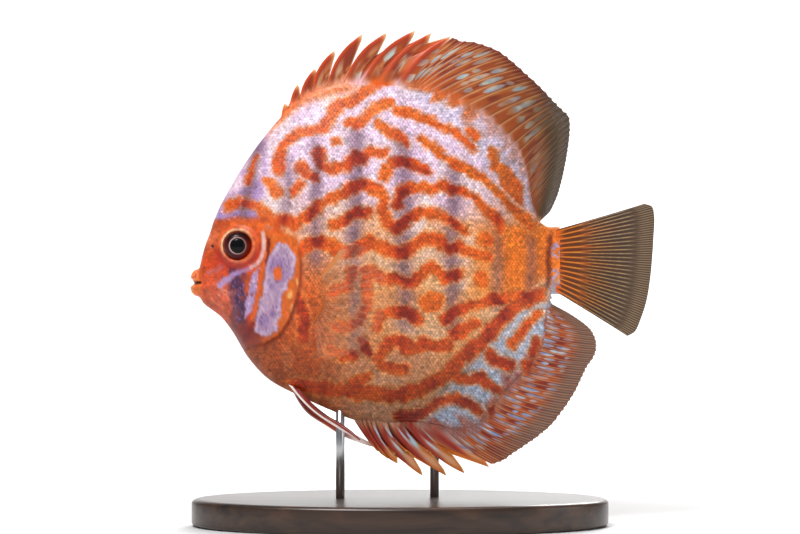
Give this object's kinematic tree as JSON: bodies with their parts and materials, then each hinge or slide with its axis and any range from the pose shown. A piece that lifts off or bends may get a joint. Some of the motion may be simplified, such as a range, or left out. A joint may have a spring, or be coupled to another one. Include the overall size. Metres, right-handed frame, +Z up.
{
  "type": "discus fish display model",
  "caption": "Life-size discus fish, a tall disc-shaped aquarium fish swimming level with spread fins, held over a plain oval base by slim rods.",
  "frame": {"origin": "centre of the flat underside of the oval base", "axes": "+Z up, the fish's snout towards -X and its left side towards -Y"},
  "size_m": [0.1672, 0.078, 0.1784],
  "materials": {
    "skin": "satin wet-looking painted skin with fine scales, orange wavy lines on a pale lavender and tan ground",
    "fin": "thin semi-clear membrane over ridged rays, orange-brown with pale turquoise streaks",
    "clear_fin": "nearly clear membrane with fine rays",
    "eye": "glossy dark maroon iris with a pale ring and a black pupil",
    "wood": "dark stained satin wood",
    "steel": "brushed stainless rod"
  },
  "bodies": {
    "root": {"head": "skin", "torso": "skin", "tail": "skin", "dorsal_fin": "fin", "anal_fin": "fin", "caudal_fin": "fin", "pectoral_fin_left": "clear_fin", "pectoral_fin_right": "clear_fin", "pelvic_fin_left": "fin", "pelvic_fin_right": "fin", "eye_left": "eye", "eye_right": "eye", "stand_base": "wood", "stand_rod_front": "steel", "stand_rod_rear": "steel"}
  },
  "joints": []
}
